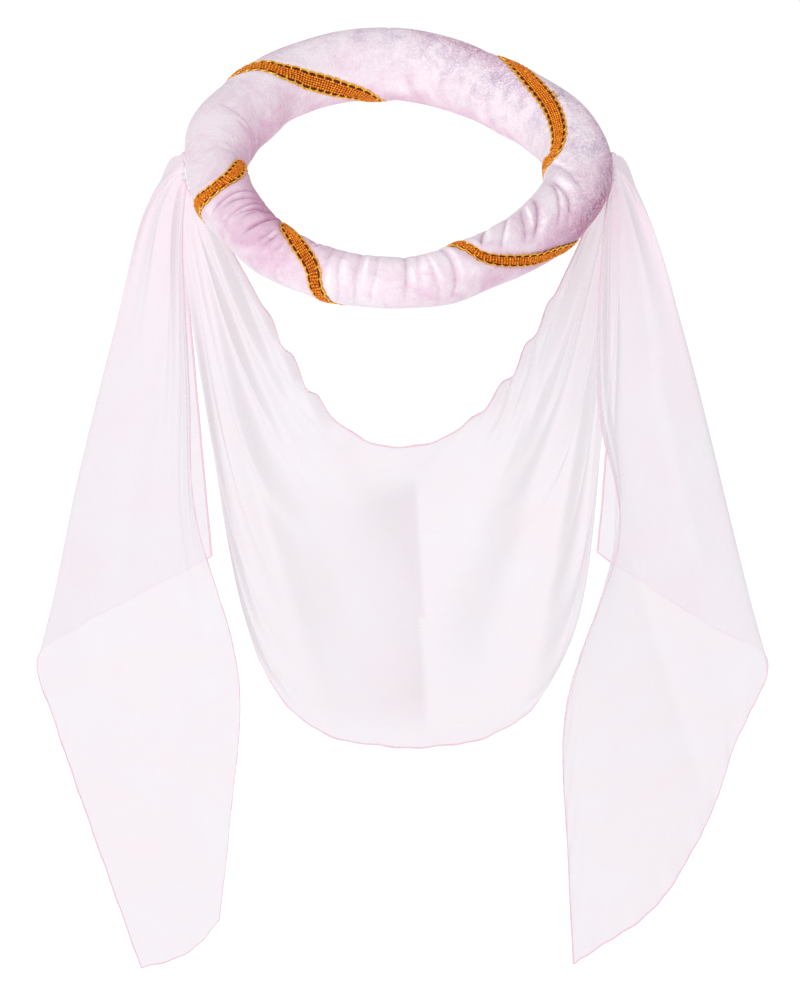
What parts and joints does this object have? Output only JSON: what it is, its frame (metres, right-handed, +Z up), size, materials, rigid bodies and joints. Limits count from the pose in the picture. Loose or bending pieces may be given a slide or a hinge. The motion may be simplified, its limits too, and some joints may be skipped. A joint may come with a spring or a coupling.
{
  "type": "headband with veil",
  "caption": "Padded velvet ring headband wound with gold braid, with a sheer scarf pinched to its sides that hangs as a swag between two tails.",
  "frame": {"origin": "centre of the ring at mid height of the roll, where the head goes in", "axes": "+Z up through the ring, -Y towards the ring's thin ruched side that faces the viewer, +X to the viewer's right"},
  "size_m": [0.4527, 0.2516, 0.6386],
  "materials": {
    "velvet": "pale pink crushed velvet",
    "gold_braid": "shiny orange-gold woven braid",
    "veil": "sheer pale pink organza"
  },
  "bodies": {
    "root": {"padded_ring": "velvet", "gold_braid": "gold_braid", "veil": "veil"}
  },
  "joints": []
}
